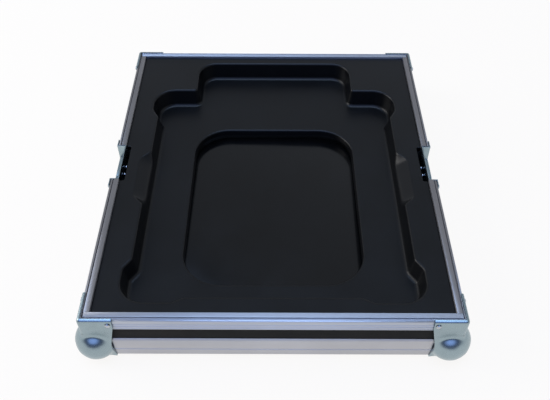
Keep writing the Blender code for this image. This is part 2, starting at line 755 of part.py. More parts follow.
def build_rivets(places, profile):
    """One rivet at each (name, point, outward axis) place."""
    for name, point, axis in places:
        bm = bmesh.new()
        add_turned(bm, point, axis, profile)
        make_object(name, bm, ZINC_STEEL, smooth=True)


def drill(target, places, depth):
    """Cut clearance holes for rivets into a piece."""
    bm = bmesh.new()
    for _, point, axis in places:
        add_turned(bm, point, axis, [(SHANK_RADIUS + GAP, -depth),
                                     (SHANK_RADIUS + GAP, HEAD_HEIGHT)])
    cut(target, make_object("drill", bm, ZINC_STEEL))


def four_places(name, x, y, z, axis):
    """A (name, point, outward axis) place in each quarter of the case."""
    places = []
    for end, sy in (("front", -1), ("rear", 1)):
        for hand, sx in (("left", -1), ("right", 1)):
            places.append((name + "_" + end + "_" + hand, (sx * x, sy * y, z),
                           (sx * axis[0], sy * axis[1], axis[2])))
    return places


def corner_places():
    """Rivets of the ball corners: one in each leg."""
    face = GAP + CORNER_SHEET
    reach = LEG_REACH - RIVET_MARGIN
    z = LAND - CORNER_RIVET_DROP
    near = BALL_INSET + RIVET_MARGIN / 2
    far = TOE_REACH - RIVET_MARGIN
    return (four_places("end_rivet", HALF_WIDTH - reach, HALF_DEPTH + face, z, (0, 1, 0))
            + four_places("side_rivet", HALF_WIDTH + face, HALF_DEPTH - reach, z, (1, 0, 0))
            + four_places("foot_rivet", HALF_WIDTH - far, HALF_DEPTH - near,
                          UNDERSIDE - face, (0, 0, -1)))


def dish_places():
    """Rivets in the wings of both latch dishes."""
    x = HALF_WIDTH + GAP + DISH_SHEET
    y = (LATCH_LENGTH + DISH_WING) / 2
    lower = LAND - LATCH_HEIGHT - DISH_APRON / 2
    return (four_places("dish_upper_rivet", x, y, LAND - CORNER_RIVET_DROP, (1, 0, 0))
            + four_places("dish_lower_rivet", x, y, lower, (1, 0, 0)))


def keeper_places():
    """Rivets through each keeper and the back of its dish."""
    return four_places("keeper_rivet", HALF_WIDTH - KEEPER_FACE, KEEPER_RIVET_SPACING / 2,
                       KEEPER_FOOT + 1.25 * HEAD_RADIUS, (1, 0, 0))


def build():
    for old in list(bpy.data.objects):
        bpy.data.objects.remove(old, do_unlink=True)

    rims = build_rims()
    edging = build_edging()
    bottom, walls = build_panels()
    build_supports()
    build_battens()
    build_insert()
    corners = [build_ball_corner()]
    dishes = [build_dish()]
    keepers = [build_keeper()]

    corners.append(mirrored(corners[0], "ball_corner_front_right", flip_x=True))
    corners.append(mirrored(corners[0], "ball_corner_rear_left", flip_y=True))
    corners.append(mirrored(corners[0], "ball_corner_rear_right", flip_x=True, flip_y=True))
    dishes.append(mirrored(dishes[0], "right_latch_dish", flip_x=True))
    keepers.append(mirrored(keepers[0], "right_keeper", flip_x=True))

    corner_length = CORNER_SHEET + PANEL_INSET + PANEL / 2
    dish_length = DISH_SHEET + PANEL_INSET + PANEL / 2
    keeper_length = KEEPER_SHEET + GAP + DISH_SHEET
    for piece in rims + edging + walls + corners + [bottom]:
        drill(piece, corner_places(), corner_length + GAP)
    for piece in rims + walls + dishes:
        drill(piece, dish_places(), dish_length + GAP)
    for piece in dishes + keepers:
        drill(piece, keeper_places(), keeper_length + GAP)

    build_rivets(corner_places(), rivet_profile(corner_length))
    build_rivets(dish_places(), rivet_profile(dish_length))
    build_rivets(keeper_places(), tail_profile(keeper_length))


build()
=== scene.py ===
"""Studio picture of the base half of a flight case for a DJ player."""

import math

import bpy
import bmesh
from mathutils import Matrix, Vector


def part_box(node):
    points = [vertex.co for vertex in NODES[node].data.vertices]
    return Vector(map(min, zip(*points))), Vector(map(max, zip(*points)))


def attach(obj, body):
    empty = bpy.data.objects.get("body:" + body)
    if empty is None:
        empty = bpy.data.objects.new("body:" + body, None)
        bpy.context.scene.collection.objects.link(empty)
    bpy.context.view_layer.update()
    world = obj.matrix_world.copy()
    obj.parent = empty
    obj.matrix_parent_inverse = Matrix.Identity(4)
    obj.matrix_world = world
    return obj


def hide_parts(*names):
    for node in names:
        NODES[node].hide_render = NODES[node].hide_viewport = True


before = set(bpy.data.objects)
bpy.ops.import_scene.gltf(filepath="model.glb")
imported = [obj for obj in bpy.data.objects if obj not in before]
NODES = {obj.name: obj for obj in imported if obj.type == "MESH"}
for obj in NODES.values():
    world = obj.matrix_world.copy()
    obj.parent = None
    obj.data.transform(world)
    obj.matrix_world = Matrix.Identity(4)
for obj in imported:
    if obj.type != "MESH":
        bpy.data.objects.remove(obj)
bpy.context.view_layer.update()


# materials

class Shader:
    """Small helper for building a node material step by step."""

    def __init__(self, name):
        self.material = bpy.data.materials.new(name)
        self.material.use_nodes = True
        self.tree = self.material.node_tree
        self.out = self.tree.nodes["Principled BSDF"]
        self.coords = self.add("ShaderNodeTexCoord").outputs["Object"]

    def add(self, kind, **values):
        node = self.tree.nodes.new(kind)
        for key, value in values.items():
            setattr(node, key, value)
        return node

    def link(self, source, target):
        self.tree.links.new(source, target)

    def put(self, name, value):
        socket = self.out.inputs[name]
        if isinstance(value, bpy.types.NodeSocket):
            self.link(value, socket)
        else:
            socket.default_value = value

    def scaled(self, scale):
        node = self.add("ShaderNodeMapping")
        node.inputs["Scale"].default_value = scale
        self.link(self.coords, node.inputs["Vector"])
        return node.outputs["Vector"]

    def noise(self, scale, detail=3.0, rough=0.5, vector=None, distortion=0.0):
        node = self.add("ShaderNodeTexNoise")
        node.inputs["Scale"].default_value = scale
        node.inputs["Detail"].default_value = detail
        node.inputs["Roughness"].default_value = rough
        node.inputs["Distortion"].default_value = distortion
        self.link(vector or self.coords, node.inputs["Vector"])
        return node.outputs["Fac"]

    def cells(self, scale):
        node = self.add("ShaderNodeTexVoronoi")
        node.inputs["Scale"].default_value = scale
        self.link(self.coords, node.inputs["Vector"])
        return node.outputs["Distance"]

    def ramp(self, value, low, high, start=0.0, end=1.0):
        """Map a value from low..high to start..end, clamped."""
        node = self.add("ShaderNodeMapRange")
        node.inputs["From Min"].default_value = low
        node.inputs["From Max"].default_value = high
        node.inputs["To Min"].default_value = start
        node.inputs["To Max"].default_value = end
        self.link(value, node.inputs["Value"])
        return node.outputs["Result"]

    def blend(self, factor, first, second):
        """Mix two colours, each a socket or an (r, g, b)."""
        node = self.add("ShaderNodeMix", data_type="RGBA")
        self.link(factor, node.inputs["Factor"])
        for socket, value in ((node.inputs[6], first), (node.inputs[7], second)):
            if isinstance(value, bpy.types.NodeSocket):
                self.link(value, socket)
            else:
                socket.default_value = (*value, 1.0)
        return node.outputs[2]

    def bump(self, height, strength, distance, normal=None):
        node = self.add("ShaderNodeBump")
        node.inputs["Strength"].default_value = strength
        node.inputs["Distance"].default_value = distance
        self.link(height, node.inputs["Height"])
        if normal:
            self.link(normal, node.inputs["Normal"])
        return node.outputs["Normal"]


# Texture scales of the die lines on an extrusion, across them and along them
ACROSS_LINES = 1400.0
ALONG_LINES = 5.0


def aluminium(name, along, low, high, rough):
    """Satin anodised extrusion with die lines along one axis."""
    s = Shader(name)
    stretch = [ACROSS_LINES] * 3
    stretch[along] = ALONG_LINES
    lines = s.noise(1.0, 2.0, 0.6, s.scaled(stretch))
    cloud = s.noise(14.0, 4.0, 0.55)
    tone = s.ramp(cloud, 0.3, 0.7)
    s.put("Base Color", s.blend(tone, low, high))
    s.put("Metallic", 1.0)
    s.put("Roughness", s.ramp(lines, 0.3, 0.7, rough - 0.04, rough + 0.04))
    s.put("Anisotropic", 0.85)
    s.put("Anisotropic Rotation", 0.25)
    tangent = s.add("ShaderNodeCombineXYZ")
    tangent.inputs[along].default_value = 1.0
    s.put("Tangent", tangent.outputs["Vector"])
    s.put("Normal", s.bump(lines, 0.10, 0.0002))
    return s.material


def zinc(name, low, high, rough):
    """Pressed zinc-plated steel, faintly mottled and scuffed."""
    s = Shader(name)
    cloud = s.noise(45.0, 5.0, 0.6)
    flow = s.noise(220.0, 3.0, 0.6)
    tone = s.ramp(cloud, 0.25, 0.75)
    s.put("Base Color", s.blend(tone, low, high))
    s.put("Metallic", 1.0)
    s.put("Roughness", s.ramp(flow, 0.3, 0.7, rough - 0.02, rough + 0.03))
    s.put("Normal", s.bump(flow, 0.004, 0.0003))
    return s.material


def formed_plastic(name):
    """Vacuum-formed black sheet: satin, with a fine orange-peel surface."""
    s = Shader(name)
    cloud = s.noise(18.0, 4.0, 0.55)
    peel = s.noise(1100.0, 2.0, 0.5)
    wave = s.noise(11.0, 1.0, 0.4)
    tone = s.ramp(cloud, 0.3, 0.7)
    s.put("Base Color", s.blend(tone, (0.0016, 0.0018, 0.0022), (0.0026, 0.0029, 0.0035)))
    s.put("Specular IOR Level", 0.29)
    s.put("Roughness", s.ramp(cloud, 0.3, 0.7, 0.32, 0.38))
    soft = s.bump(wave, 0.15, 0.006)
    s.put("Normal", s.bump(peel, 0.06, 0.0003, soft))
    return s.material


def laminate(name):
    """Black laminate with a fine pebble grain."""
    s = Shader(name)
    grain = s.cells(1400.0)
    cloud = s.noise(25.0, 4.0, 0.6)
    tone = s.ramp(cloud, 0.3, 0.7)
    s.put("Base Color", s.blend(tone, (0.0030, 0.0030, 0.0034), (0.0048, 0.0048, 0.0054)))
    s.put("Specular IOR Level", 0.10)
    s.put("Roughness", s.ramp(cloud, 0.3, 0.7, 0.42, 0.55))
    s.put("Normal", s.bump(grain, 0.25, 0.0004))
    return s.material


def timber(name):
    """Softwood stained black, with growth lines."""
    s = Shader(name)
    rings = s.noise(1.0, 3.0, 0.6, s.scaled((30.0, 30.0, 260.0)), 0.6)
    tone = s.ramp(rings, 0.35, 0.65)
    s.put("Base Color", s.blend(tone, (0.010, 0.009, 0.008), (0.022, 0.020, 0.018)))
    s.put("Roughness", s.ramp(rings, 0.3, 0.7, 0.60, 0.75))
    s.put("Normal", s.bump(rings, 0.2, 0.0004))
    return s.material


def smooth_sheet(name):
    """Smooth black sheet that mirrors the lip standing on it."""
    s = Shader(name)
    cloud = s.noise(20.0, 3.0, 0.5)
    s.put("Base Color", s.blend(s.ramp(cloud, 0.3, 0.7), (0.0010, 0.0011, 0.0013),
                                (0.0018, 0.0019, 0.0022)))
    s.put("Specular IOR Level", 0.36)
    s.put("Roughness", s.ramp(cloud, 0.3, 0.7, 0.14, 0.20))
    s.put("Normal", s.bump(cloud, 0.01, 0.002))
    return s.material


# The rims are all one extrusion, but the front and rear ones get a brighter, bluer base colour
# (painted reflection of the cool window) and the side ones a darker grey (painted shade), for how
# each side faces the studio.
RIM_X_PAINTED_REFLECTION = aluminium("closure_rim_along_x_painted_reflection", 0, (0.47, 0.495, 0.55), (0.52, 0.545, 0.60), 0.37)
RIM_Y_PAINTED_SHADE = aluminium("closure_rim_along_y_painted_shade", 1, (0.33, 0.32, 0.33), (0.38, 0.37, 0.38), 0.46)
EDGING_X = aluminium("bottom_edging_along_x", 0, (0.51, 0.50, 0.50), (0.56, 0.55, 0.55), 0.40)
EDGING_Y = aluminium("bottom_edging_along_y", 1, (0.51, 0.50, 0.50), (0.56, 0.55, 0.55), 0.40)
ZINC = zinc("zinc_plated_steel", (0.28, 0.35, 0.38), (0.32, 0.40, 0.43), 0.26)
RIVET = zinc("rivet_steel", (0.42, 0.44, 0.48), (0.52, 0.54, 0.58), 0.18)
PLASTIC = formed_plastic("formed_black_plastic")
LAMINATE = laminate("black_laminate")
TIMBER = timber("stained_timber")
SHEET_BLACK = smooth_sheet("smooth_black_sheet")


def finish_of(node):
    """Material of a piece of the case that isn't the insert, a corner or a rivet."""
    if "dish" in node or "keeper" in node:
        return ZINC
    if "rim" in node:
        # Front and rear rims take the copy with painted reflection, the side rims the copy with
        # painted shade.
        return RIM_X_PAINTED_REFLECTION if node in ("front_rim", "rear_rim") else RIM_Y_PAINTED_SHADE
    if "edging" in node:
        return EDGING_X if node in ("front_edging", "rear_edging") else EDGING_Y
    if "batten" in node or "packing" in node:
        return TIMBER
    if node == "raised_floor":
        return SHEET_BLACK
    return LAMINATE


# shapes

# Sizes of the case, in metres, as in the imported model
HALF_WIDTH = 0.212
HALF_DEPTH = 0.2455
UNDERSIDE = 0.0051
LAND = 0.0773
SHOULDER = 0.0763
INSERT_TOP = 0.0743
FLOOR = 0.0483
SHEET = 0.0025

# Pocket in the insert: its half-width and ends, and the bends at its edge and floor
POCKET_X = 0.1655
POCKET_FRONT = -0.2121
POCKET_REAR = 0.1540
EXTENSION_REAR = 0.2196
DRAFT = 0.003
EDGE_ROUND = 0.0032
FILLET = 0.005
# Flat strips between a bend and the triangles beside it, on the land and on the floor
LAND_STRIP = 0.0008
FLOOR_STRIP = 0.001
# Depths under the upper bend at which the wall has a ring, closest where the scoops end
WALL_STEPS = (0.0012, 0.0026, 0.0040, 0.0054, 0.0066, 0.0076, 0.0084, 0.0092, 0.0102, 0.0125)

# Pocket corners: the lobes in front, the ears behind and the cable space between them
LOBE_X = 0.1745
LOBE_DEPTH = 0.007
LOBE_LENGTH = 0.0455
LOBE_TAPER = 0.0135
LOBE_START = 0.1140
LOBE_RADIUS = 0.029
EAR_X = 0.1747
EAR_LENGTH = 0.0425
EAR_TAPER = 0.016
EAR_RADIUS = 0.030
NECK_X = 0.11425
NECK_RADIUS = 0.005
EXTENSION_RADIUS = 0.026
WALL_BEND = 0.009

# Finger scoops: middle, reach on the land, slope of the ramp, length and slope of its ends,
# and the softer bend that leads from the land into the ramp
SCOOP_Y = -0.02535
SCOOP_X = 0.180
SCOOP_SLOPE = 0.7241
SCOOP_HALF_LENGTH = 0.037
SCOOP_END_SLOPE = 1.45
SCOOP_END_BLEND = 0.008
SCOOP_LEAD = 0.0013
SCOOP_LEAD_DEPTH = 0.0011
SCOOP_LEAD_CURVE = 0.0088
SCOOP_WALL_BLEND = 0.0045
# Distances from the middle at which a ring has points, closest where an end slopes
SCOOP_STEPS = (0.057, 0.054, 0.0515, 0.0495, 0.0475, 0.0455, 0.0435, 0.0415, 0.0395,
               0.038, 0.0365, 0.035, 0.0335, 0.031, 0.022, 0.008)

# Cut-out in the pocket floor, with a rounded edge and a turned-down lip
CUT_X = 0.1105
CUT_FRONT = -0.1774
CUT_REAR = 0.0941
CUT_CORNER = 0.0475
CUT_ROUND = 0.0026
LIP = 0.0143

# Outer edge of the insert, turned down inside the rim and round the latch dishes
RIM_INNER = 0.0108
DISH_INNER = 0.017
DISH_HALF = 0.032
INSERT_BEND = 0.003
NOTCH_BEND = 0.002
EDGE_BEND = 0.0012
SKIRT = 0.0070
SKIRT_RING = 0.004

# Bottom edging: sheet, width underneath, height, bevel at the top, and its incised line
EDGING_SKIN = 0.0017
EDGING_FOOT = 0.030
EDGING_TOP = UNDERSIDE + 0.0323
EDGING_BEVEL = 0.0030
EDGING_LINE = UNDERSIDE + 0.0108
LINE_DEPTH = 0.0006
EDGING_GAP = 0.0002

# Gap that touching meshes keep, and the least radius of a bend in an outline
GAP = 0.0003
LEAST_BEND = 0.0004

# Ball corner: sheet, bends, folded lip, ball, and how far its legs and toe reach from the
# corner of the case
CORNER_SHEET = 0.002
CORNER_REACH = 0.044
CORNER_BEND = 0.0032
FOOT_BEND = 0.0012
LIP_RISE = 0.0017
LIP_WIDTH = 0.0021
BALL_INSET = 0.010
BALL_CENTRE = UNDERSIDE + 0.0199
BALL_RADIUS = 0.02486
BALL_BORE = 0.0233
BLEND_RADIUS = 0.0249
BLEND_WIDTH = 0.0065
LEG_TOP = 0.0362
LEG_SHOULDER = 0.0358
WAIST_TOP = 0.0297
WAIST = 0.0293
WAIST_FOOT = 0.0299
TOE = 0.0312
TOE_CHAMFER = 0.008
# Where the tools that shape the legs start and end across a wall, and how far past they go
LEG_CUT = (-0.037, 0.0105)
LEG_WASTE = 0.0748
# Mesh of the corner's skin: grid, and smoothing passes all over and along the crease
SKIN_VOXEL = 0.0008
SKIN_PASSES = 16
BLEND_PASSES = 90
# Further out than any piece, for tools that cut right through
BEYOND = 0.12

# Rivets: shank, height of the head, and (radius, height) points of head and spread tail
SHANK = 0.0016
HEAD_HEIGHT = 0.0017
RIVET_HEAD = ((SHANK, 0.0), (0.0030, 0.0), (0.0032, 0.0003), (0.00315, 0.0007),
              (0.0027, 0.0012), (0.0019, 0.00155), (0.0010, 0.0017), (0.0003, 0.00172))
RIVET_TAIL = ((0.0012, 0.0), (0.0022, 0.0004), (0.0024, 0.0012), (0.0023, 0.0020), (SHANK, 0.0025))
RIVET_SIDES = 24

# Pieces that keep their CAD shape, with a broken edge: word in the name, slot, edge width
SOFTENED = (("rim", "aluminium", 0.0001), ("latch_dish", "zinc_steel", 0.0004),
            ("keeper", "zinc_steel", 0.0004), ("panel", "laminate", 0.0003),
            ("support", "laminate", 0.0003), ("batten", "timber", 0.0006),
            ("packing", "timber", 0.0006), ("raised_floor", "smooth_sheet", 0.0003))


def link(name, mesh, material, *replaced, slot=None):
    """Put a finished mesh in the scene in place of CAD nodes."""
    mesh.name = name
    piece = bpy.data.objects.new(name, mesh)
    bpy.context.scene.collection.objects.link(piece)
    mesh.materials.clear()
    mesh.materials.append(material)
    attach(piece, "root")
    if replaced:
        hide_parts(*replaced)
    return piece


def applied(piece):
    """Bake an object's modifiers into its mesh."""
    graph = bpy.context.evaluated_depsgraph_get()
    mesh = bpy.data.meshes.new_from_object(piece.evaluated_get(graph))
    old = piece.data
    piece.modifiers.clear()
    piece.data = mesh
    bpy.data.meshes.remove(old)


def mesh_of(bm, smooth=True, sharp=None):
    """Mesh of a finished bmesh, with edges kept sharp from an angle in degrees on."""
    mesh = bpy.data.meshes.new("shape")
    bm.to_mesh(mesh)
    bm.free()
    if smooth:
        mesh.shade_smooth()
    if sharp:
        mesh.set_sharp_from_angle(angle=math.radians(sharp))
    return mesh


def scratch(bm, smooth=True):
    """Object that is only used while another piece is made."""
    bmesh.ops.recalc_face_normals(bm, faces=bm.faces)
    mesh = mesh_of(bm, smooth)
    piece = bpy.data.objects.new("scratch", mesh)
    bpy.context.scene.collection.objects.link(piece)
    return piece


def cut(piece, tool):
    """Take one solid away from another."""
    modifier = piece.modifiers.new("cut", "BOOLEAN")
    modifier.operation = "DIFFERENCE"
    modifier.object = tool
    modifier.solver = "EXACT"
    applied(piece)
    bpy.data.objects.remove(tool, do_unlink=True)


def outline(corners, inset=0.0):
    """Closed outline of (x, y, radius, steps) corners, moved inwards by inset."""
    points = []
    count = len(corners)
    for i, (x, y, radius, steps) in enumerate(corners):
        here = Vector((x, y))
        before = (here - Vector(corners[i - 1][:2])).normalized()
        after = (Vector(corners[(i + 1) % count][:2]) - here).normalized()
        turn = before.x * after.y - before.y * after.x
        half = math.acos(max(-1.0, min(1.0, before.dot(after)))) / 2
        inward = Vector((-before.y, before.x)) + Vector((-after.y, after.x))
        moved = here + inward.normalized() * inset / math.cos(half)
        bend = radius - inset if turn > 0 else radius + inset
        reach = max(bend, LEAST_BEND) * math.tan(half)
        start = moved - before * reach
        end = moved + after * reach
        for k in range(steps + 1):
            t = k / steps
            a, b, c = (1 - t) ** 2, 2 * t * (1 - t) * math.cos(half), t * t
            points.append((start * a + moved * b + end * c) / (a + b + c))
    return points


def ring(bm, points, z):
    """Loop of vertices at one height."""
    return [bm.verts.new((p[0], p[1], z)) for p in points]


def bridge(bm, first, second):
    """Join two loops of as many vertices with a band of faces."""
    count = len(first)
    for i in range(count):
        j = (i + 1) % count
        bm.faces.new((first[i], first[j], second[j], second[i]))


def fill_between(bm, outer, inner):
    """Fill the flat area between two rings."""
    edges = []
    for loop in (outer, inner):
        for i, vert in enumerate(loop):
            other = loop[(i + 1) % len(loop)]
            edges.append(bm.edges.get((vert, other)) or bm.edges.new((vert, other)))
    bmesh.ops.triangle_fill(bm, use_beauty=True, edges=edges)


def smooth_max(a, b, width):
    """The larger of two values, blended where they are nearly equal."""
    gap = max(0.0, width - abs(a - b)) / width
    return max(a, b) + gap * gap * width / 4


def scoop_x(y, z):
    """Half-width of the finger scoop at a height, as a plane ramp with sloped ends."""
    deep = INSERT_TOP - z
    round_x = SCOOP_X + SCOOP_LEAD - math.sqrt(max(0.0, SCOOP_LEAD_CURVE * deep))
    ramp_x = SCOOP_X - deep / SCOOP_SLOPE
    x = max(round_x, ramp_x) if deep < SCOOP_LEAD_DEPTH else ramp_x
    past = abs(y - SCOOP_Y) - SCOOP_HALF_LENGTH
    past = smooth_max(past, 0.0, SCOOP_END_BLEND)
    return x - past * SCOOP_END_SLOPE


def pocket_ring(bm, inset, z, wide=0.0):
    """Pocket outline at one level, with the finger scoops worked in and moved out by wide."""
    front = POCKET_FRONT - LOBE_DEPTH
    lobe_end = front + LOBE_LENGTH
    ear_start = POCKET_REAR - EAR_LENGTH
    right = [
        (LOBE_START - LOBE_TAPER, POCKET_FRONT, WALL_BEND, 5),
        (LOBE_START, front, WALL_BEND, 5),
        (LOBE_X, front, LOBE_RADIUS, 18),
        (LOBE_X, lobe_end, WALL_BEND, 5),
        (POCKET_X, lobe_end + LOBE_TAPER, WALL_BEND, 5),
        (POCKET_X, ear_start - EAR_TAPER, EAR_TAPER / 2, 5),
        (EAR_X, ear_start, EAR_TAPER, 7),
        (EAR_X, POCKET_REAR, EAR_RADIUS, 18),
        (NECK_X, POCKET_REAR, NECK_RADIUS, 9),
        (NECK_X, EXTENSION_REAR, EXTENSION_RADIUS, 16),
    ]
    corners = right + [(-x, y, r, n) for x, y, r, n in reversed(right)]
    points = outline(corners, inset)
    along = []
    for y in sorted(SCOOP_Y + side * step for side in (-1, 1) for step in SCOOP_STEPS):
        x = smooth_max(POCKET_X - inset, scoop_x(y, z) + wide, SCOOP_WALL_BLEND)
        along.append((x, y))
    built = []
    count = len(points)
    for i, point in enumerate(points):
        built.append(tuple(point))
        other = points[(i + 1) % count]
        if point.x > 0 and point.y < SCOOP_Y < other.y and other.x > 0:
            built += along
        if point.x < 0 and point.y > SCOOP_Y > other.y and other.x < 0:
            built += [(-x, y) for x, y in reversed(along)]
    return ring(bm, built, z)


def build_insert():
    """Vacuum-formed sheet: land, edge, pocket, scoops and the lip of the cut-out."""
    bm = bmesh.new()
    x, y = HALF_WIDTH - RIM_INNER, HALF_DEPTH - RIM_INNER
    notch_x = HALF_WIDTH - DISH_INNER
    right = [(x, -y, INSERT_BEND, 6), (x, -DISH_HALF, NOTCH_BEND, 4),
             (notch_x, -DISH_HALF, NOTCH_BEND, 4), (notch_x, DISH_HALF, NOTCH_BEND, 4),
             (x, DISH_HALF, NOTCH_BEND, 4), (x, y, INSERT_BEND, 6)]
    corners = right + [(-px, py, r, n) for px, py, r, n in reversed(right)]
    last = ring(bm, outline(corners, 0.0), INSERT_TOP - SKIRT)
    edge = [(0.0, -SKIRT_RING)]
    for k in range(6):
        turn = math.radians(18 * k)
        edge.append((EDGE_BEND * (1 - math.cos(turn)), EDGE_BEND * (math.sin(turn) - 1)))
    edge.append((EDGE_BEND + LAND_STRIP, 0.0))
    for inset, drop in edge:
        here = ring(bm, outline(corners, inset), INSERT_TOP + drop)
        bridge(bm, last, here)
        last = here
    outer = last

    levels = [(-EDGE_ROUND - LAND_STRIP, 0.0, LAND_STRIP), (-EDGE_ROUND, 0.0, 0.0)]
    for k in range(1, 9):
        turn = math.radians(90 * k / 8)
        levels.append((-EDGE_ROUND * (1 - math.sin(turn)),
                       -EDGE_ROUND * (1 - math.cos(turn)), 0.0))
    drop_all = INSERT_TOP - FLOOR
    straight = drop_all - EDGE_ROUND - FILLET
    for depth in WALL_STEPS:
        levels.append((DRAFT * depth / straight, -EDGE_ROUND - depth, 0.0))
    for k in range(9):
        turn = math.radians(90 * k / 8)
        levels.append((DRAFT + FILLET * (1 - math.cos(turn)),
                       -(drop_all - FILLET) - FILLET * math.sin(turn), 0.0))
    levels.append((DRAFT + FILLET + FLOOR_STRIP, -drop_all, 0.0))
    last = None
    for inset, drop, wide in levels:
        here = pocket_ring(bm, inset, INSERT_TOP + drop, wide)
        if last:
            bridge(bm, last, here)
        else:
            fill_between(bm, outer, here)
        last = here
    floor_ring = last

    corners = [(CUT_X, CUT_FRONT, CUT_CORNER, 20), (CUT_X, CUT_REAR, CUT_CORNER, 20),
               (-CUT_X, CUT_REAR, CUT_CORNER, 20), (-CUT_X, CUT_FRONT, CUT_CORNER, 20)]
    levels = [(-CUT_ROUND - FLOOR_STRIP, 0.0)]
    for k in range(8):
        turn = math.radians(90 * k / 7)
        levels.append((-CUT_ROUND * (1 - math.sin(turn)), -CUT_ROUND * (1 - math.cos(turn))))
    levels += [(0.0, -LIP / 2), (0.0, -LIP)]
    last = None
    for inset, drop in levels:
        here = ring(bm, outline(corners, inset), FLOOR + drop)
        if last:
            bridge(bm, last, here)
        else:
            fill_between(bm, floor_ring, here)
        last = here

    bmesh.ops.recalc_face_normals(bm, faces=bm.faces)
    up = sum(face.normal.z * face.calc_area() for face in bm.faces)
    if up < 0:
        bmesh.ops.reverse_faces(bm, faces=bm.faces)
    piece = link("insert_tray", mesh_of(bm), PLASTIC, "formed_insert", slot="formed_plastic")
    shell = piece.modifiers.new("sheet", "SOLIDIFY")
    shell.thickness = SHEET
    shell.offset = -1.0


def softened(node, material, slot, width):
    """Copy of a CAD node with its edges broken, in place of that node."""
    bm = bmesh.new()
    bm.from_mesh(NODES[node].data)
    bmesh.ops.remove_doubles(bm, verts=bm.verts, dist=1e-6)
    bmesh.ops.dissolve_limit(bm, angle_limit=math.radians(0.5), verts=bm.verts, edges=bm.edges)
    piece = link(node + "_softened", mesh_of(bm), material, node, slot=slot)
    bevel = piece.modifiers.new("edges", "BEVEL")
    bevel.width = width
    bevel.segments = 2
    bevel.limit_method = "ANGLE"
    bevel.angle_limit = math.radians(30)
    bevel.harden_normals = True
    bevel.use_clamp_overlap = True


def edging_section():
    """Section of the bottom edging as (inset, height) points, with a bevelled upper edge."""
    skin, foot, top, line = EDGING_SKIN, EDGING_FOOT, EDGING_TOP, EDGING_LINE
    bevel = top - EDGING_BEVEL
    break_edge = 0.0003
    return [(0.0, UNDERSIDE + break_edge), (0.0, line), (LINE_DEPTH, line + LINE_DEPTH),
            (0.0, line + 2 * LINE_DEPTH), (0.0, bevel), (0.0001, bevel + break_edge),
            (skin - 0.0002, top - 0.0002), (skin, top), (skin, UNDERSIDE + skin),
            (foot, UNDERSIDE + skin), (foot, UNDERSIDE + break_edge),
            (foot - skin, UNDERSIDE), (break_edge, UNDERSIDE)]


def build_edging():
    """Four mitred lengths of edging, each a closed sweep of the same section."""
    section = edging_section()
    for name, along_x, side in (("front", True, -1), ("rear", True, 1),
                                ("left", False, -1), ("right", False, 1)):
        bm = bmesh.new()
        rings = []
        for end in (-1, 1):
            loop = []
            for inset, z in section:
                wall, length = (HALF_DEPTH, HALF_WIDTH) if along_x else (HALF_WIDTH, HALF_DEPTH)
                near = side * (wall - inset)
                far = end * (length - inset - EDGING_GAP)
                loop.append(bm.verts.new((far, near, z) if along_x else (near, far, z)))
            rings.append(loop)
        bridge(bm, *rings)
        bm.faces.new(rings[0])
        bm.faces.new(rings[1])
        bmesh.ops.recalc_face_normals(bm, faces=bm.faces)
        mesh = mesh_of(bm, sharp=24)
        node = name + "_edging"
        link(name + "_bottom_edging", mesh, finish_of(node), node, slot="aluminium")


def corner_skin(centre):
    """Outer skin of a ball corner as one closed solid: block and ball blended together."""
    bm = bmesh.new()
    near = Vector((-HALF_WIDTH - CORNER_SHEET, -HALF_DEPTH - CORNER_SHEET,
                   UNDERSIDE - CORNER_SHEET))
    far = Vector((near.x + CORNER_REACH, near.y + CORNER_REACH, SHOULDER + LIP_RISE))
    bmesh.ops.create_cube(bm, size=1.0)
    for vert in bm.verts:
        vert.co = [near[i] if vert.co[i] < 0 else far[i] for i in range(3)]
    foot = [edge for edge in bm.edges if all(vert.co.z < UNDERSIDE for vert in edge.verts)]
    rest = [edge for edge in bm.edges if edge not in foot]
    bmesh.ops.bevel(bm, geom=rest, offset=CORNER_BEND, segments=4, profile=0.5, affect="EDGES")
    foot = [edge for edge in bm.edges if all(vert.co.z < near.z + 1e-5 for vert in edge.verts)]
    bmesh.ops.bevel(bm, geom=foot, offset=FOOT_BEND, segments=2, profile=0.5, affect="EDGES")
    ball = bmesh.ops.create_uvsphere(bm, u_segments=64, v_segments=40, radius=BALL_RADIUS)
    bmesh.ops.translate(bm, vec=centre, verts=ball["verts"])
    skin = scratch(bm)
    remesh = skin.modifiers.new("remesh", "REMESH")
    remesh.mode = "VOXEL"
    remesh.voxel_size = SKIN_VOXEL
    remesh.use_smooth_shade = True
    smooth = skin.modifiers.new("smooth", "SMOOTH")
    smooth.factor = 0.5
    smooth.iterations = SKIN_PASSES
    applied(skin)
    blend = skin.vertex_groups.new(name="crease")
    for vert in skin.data.vertices:
        off_ball = abs((vert.co - centre).length - BLEND_RADIUS)
        off_block = min(abs(vert.co[i] - near[i]) for i in range(3))
        weight = 1.0 - max(off_ball, off_block) / BLEND_WIDTH
        if weight > 0.0:
            blend.add([vert.index], min(1.0, 1.6 * weight), "REPLACE")
    smooth = skin.modifiers.new("blend", "SMOOTH")
    smooth.vertex_group = "crease"
    smooth.factor = 0.5
    smooth.iterations = BLEND_PASSES
    applied(skin)
    skin.vertex_groups.clear()
    return skin


def prism(loops):
    """Tool with two equal ends, each a list of points measured from the corner of the case."""
    tool = bmesh.new()
    rings = [[tool.verts.new((-HALF_WIDTH + x, -HALF_DEPTH + y, z)) for x, y, z in loop]
             for loop in loops]
    bridge(tool, *rings)
    tool.faces.new(list(reversed(rings[0])))
    tool.faces.new(rings[1])
    return scratch(tool, smooth=False)


def upright(points, base, top):
    """Prism that stands on the ground plan of its points."""
    return prism([[(x, y, z) for x, y in points] for z in (base, top)])


